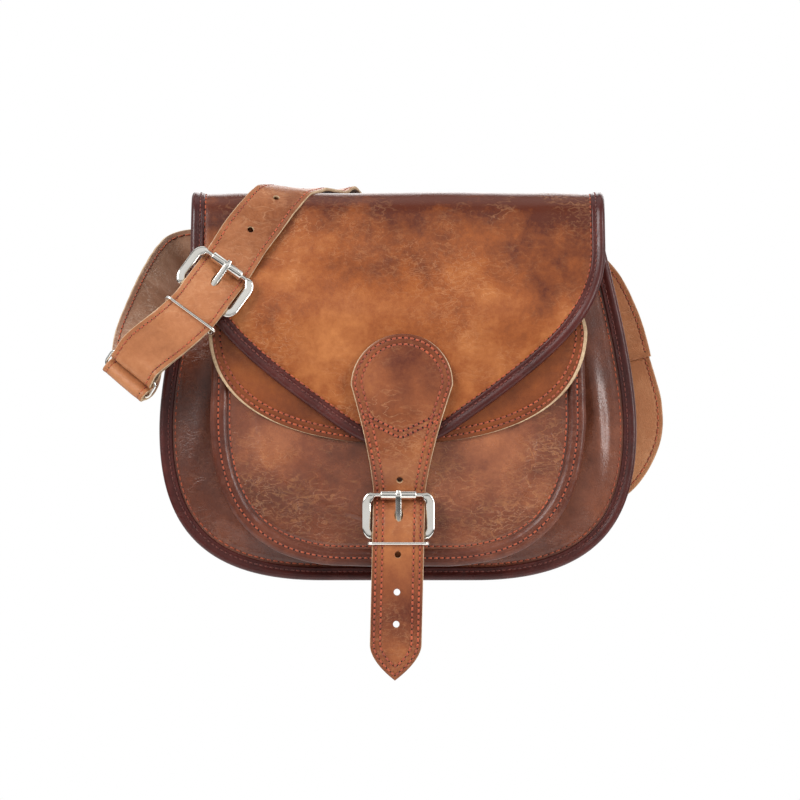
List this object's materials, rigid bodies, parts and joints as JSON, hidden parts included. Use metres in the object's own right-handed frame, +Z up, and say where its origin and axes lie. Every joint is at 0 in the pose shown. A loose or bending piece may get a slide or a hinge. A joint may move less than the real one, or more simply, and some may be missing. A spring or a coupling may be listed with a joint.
{
  "type": "saddle bag",
  "caption": "Leather cross-body saddle bag with a bound flap, a front pocket, a buckled closure strap and an adjustable shoulder strap drawn over the top.",
  "frame": {"origin": "centre of the outside of the gusset floor", "axes": "+Z up, +X to the right of someone facing the flap, front of the bag towards -Y"},
  "size_m": [0.3281, 0.1253, 0.2908],
  "materials": {
    "flap_leather": "waxed, mottled golden brown",
    "body_leather": "waxed, mottled red brown",
    "pocket_leather": "waxed, mottled mid brown",
    "pocket_flap_leather": "waxed brown with a raw edge",
    "binding_leather": "dark red brown, smooth",
    "closure_leather": "waxed mid brown with a raw edge",
    "strap_leather": "light brown, pebbled",
    "nickel": "bright nickel plate"
  },
  "bodies": {
    "bag": {"back_panel": "body_leather", "front_panel": "body_leather", "gusset": "body_leather", "front_binding": "binding_leather", "back_binding": "binding_leather", "pocket_panel": "pocket_leather", "pocket_gusset": "pocket_leather", "closure_chape": "closure_leather", "shoulder_strap_rear": "strap_leather", "left_strap_tab": "strap_leather", "right_strap_tab": "strap_leather"},
    "flap": {"flap": "flap_leather", "flap_binding": "binding_leather", "closure_strap": "closure_leather"},
    "pocket_flap": {"pocket_flap": "pocket_flap_leather"},
    "closure_frame": {"closure_buckle_frame": "nickel"},
    "closure_roller": {"closure_roller": "nickel"},
    "closure_prong": {"closure_prong": "nickel"},
    "closure_keeper": {"closure_keeper": "nickel"},
    "shoulder_strap": {"shoulder_strap_front": "strap_leather"},
    "shoulder_frame": {"shoulder_buckle_frame": "nickel"},
    "shoulder_roller": {"shoulder_roller": "nickel"},
    "shoulder_prong": {"shoulder_prong": "nickel"},
    "shoulder_keeper": {"shoulder_keeper": "nickel"},
    "strap_ring": {"strap_ring": "nickel"}
  },
  "joints": [
    {"name": "flap_fold", "type": "hinge", "parent": "bag", "child": "flap", "pos_m": [0, 0.036, 0.201], "axis": [-1, 0, 0], "range_deg": [0, 120], "deforming": ["closure_strap"]},
    {"name": "shoulder_strap_lift", "type": "hinge", "parent": "bag", "child": "shoulder_strap", "pos_m": [0, 0.036, 0.201], "axis": [-1, 0, 0], "range_deg": [0, 120], "deforming": ["shoulder_strap_front", "left_strap_tab"]},
    {"name": "pocket_flap_fold", "type": "hinge", "parent": "bag", "child": "pocket_flap", "pos_m": [0, -0.0386, 0.158], "axis": [-1, 0, 0], "range_deg": [0, 72]},
    {"name": "closure_buckle_tilt", "type": "hinge", "parent": "bag", "child": "closure_frame", "pos_m": [0, -0.0649, 0.0192], "axis": [1, 0, 0], "range_deg": [0, 45]},
    {"name": "closure_prong_lift", "type": "hinge", "parent": "closure_frame", "child": "closure_prong", "pos_m": [0, -0.0649, 0.0192], "axis": [1, 0, 0], "range_deg": [0, 45]},
    {"name": "closure_roller_spin", "type": "hinge", "parent": "closure_frame", "child": "closure_roller", "pos_m": [0, -0.0649, 0.0437], "axis": [1, 0, 0], "continuous": true},
    {"name": "closure_keeper_slide", "type": "slide", "parent": "bag", "child": "closure_keeper", "axis": [0, 0, -1], "range_m": [0, 0.0025]},
    {"name": "shoulder_buckle_tilt", "type": "hinge", "parent": "shoulder_strap", "child": "shoulder_frame", "pos_m": [-0.114, -0.07107, 0.15876], "axis": [0.809, 0, -0.5878], "range_deg": [0, 45]},
    {"name": "shoulder_prong_lift", "type": "hinge", "parent": "shoulder_frame", "child": "shoulder_prong", "pos_m": [-0.114, -0.07107, 0.15876], "axis": [0.809, 0, -0.5878], "range_deg": [0, 45]},
    {"name": "shoulder_roller_spin", "type": "hinge", "parent": "shoulder_frame", "child": "shoulder_roller", "pos_m": [-0.10015, -0.06432, 0.17781], "axis": [0.809, 0, -0.5878], "continuous": true},
    {"name": "shoulder_keeper_slide", "type": "slide", "parent": "shoulder_strap", "child": "shoulder_keeper", "axis": [-0.565, -0.2756, -0.7777], "range_m": [0, 0.01]},
    {"name": "strap_ring_swivel", "type": "hinge", "parent": "shoulder_strap", "child": "strap_ring", "pos_m": [-0.154, -0.063, 0.1185], "axis": [0.7518, -0.2205, -0.6215], "range_deg": [-20, 20]}
  ],
  "couplings": [
    {"joint": "shoulder_strap_lift", "follows": "flap_fold", "ratio": 1},
    {"joint": "pocket_flap_fold", "follows": "flap_fold", "ratio": 0.6}
  ]
}
